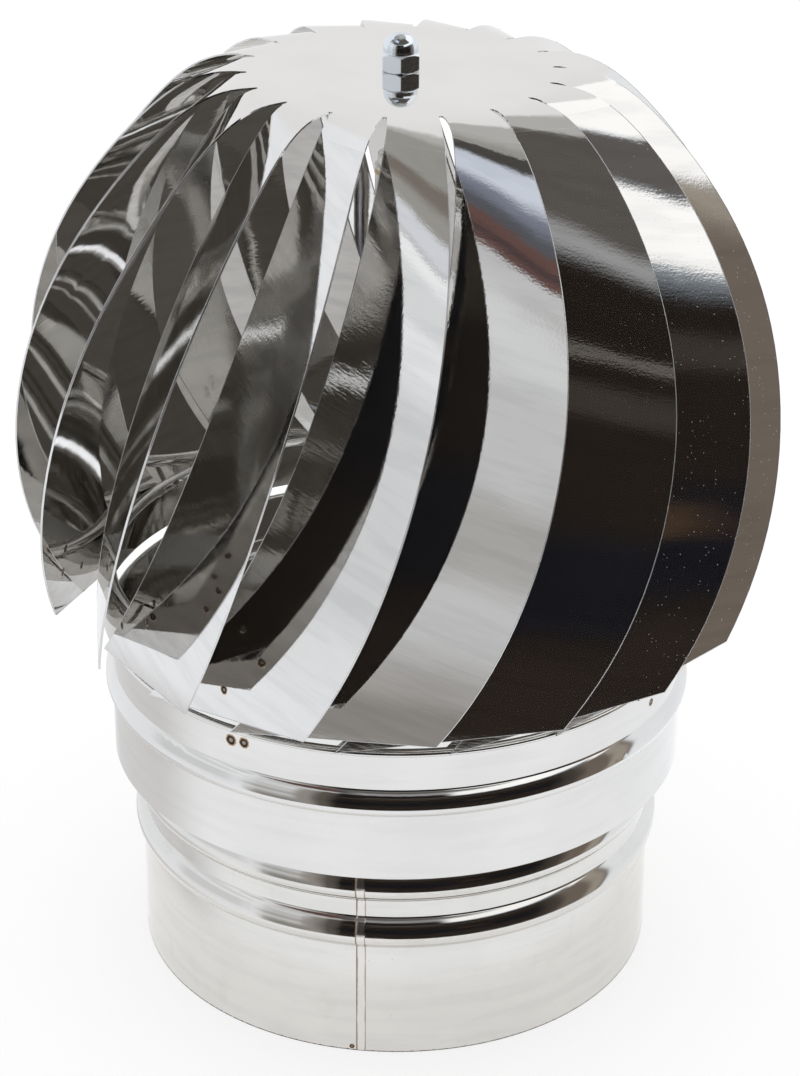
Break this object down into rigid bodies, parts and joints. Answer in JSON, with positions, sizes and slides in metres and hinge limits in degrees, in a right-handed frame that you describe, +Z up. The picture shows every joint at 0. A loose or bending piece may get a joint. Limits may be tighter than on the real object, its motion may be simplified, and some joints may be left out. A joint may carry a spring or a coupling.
{
  "type": "chimney cowl",
  "caption": "Rotating chimney cowl: a ball of twisted sheet steel vanes spins on a fixed casing above a beaded flue collar.",
  "frame": {"origin": "on the cowl's axis, at the collar's lower edge", "axes": "+Z up along the axis the ball spins about; -Y faces the camera, with the collar's seam near it"},
  "size_m": [0.2816, 0.2836, 0.3638],
  "materials": {
    "collar_sheet": "mill-bright sheet, lightly stained, lap-welded seam",
    "casing_sheet": "bright sheet with spot welds",
    "vane_sheet": "mirror-bright sheet with a thin film of dust",
    "ring_sheet": "bright sheet",
    "cross_steel": "mill finish",
    "turned_steel": "turned or mill finish",
    "nut_steel": "plain bright steel",
    "bush_bronze": "sintered bronze"
  },
  "bodies": {
    "base": {"collar": "collar_sheet", "casing": "casing_sheet", "cross_bar_lower": "cross_steel", "cross_bar_upper": "cross_steel", "bearing_tube": "turned_steel", "bush_lower": "bush_bronze", "bush_upper": "bush_bronze", "thrust_washer": "turned_steel"},
    "rotor": {"vane_shell": "vane_sheet", "skirt_ring": "ring_sheet", "spindle": "turned_steel", "hub_plate": "turned_steel", "clamp_washer": "turned_steel", "clamp_nut": "nut_steel", "cap_nut": "nut_steel", "retaining_washer": "turned_steel", "lock_nut": "nut_steel"}
  },
  "joints": [
    {"name": "rotor_spin", "type": "hinge", "parent": "base", "child": "rotor", "pos_m": [0, 0, 0.2], "axis": [0, 0, 1], "continuous": true}
  ]
}
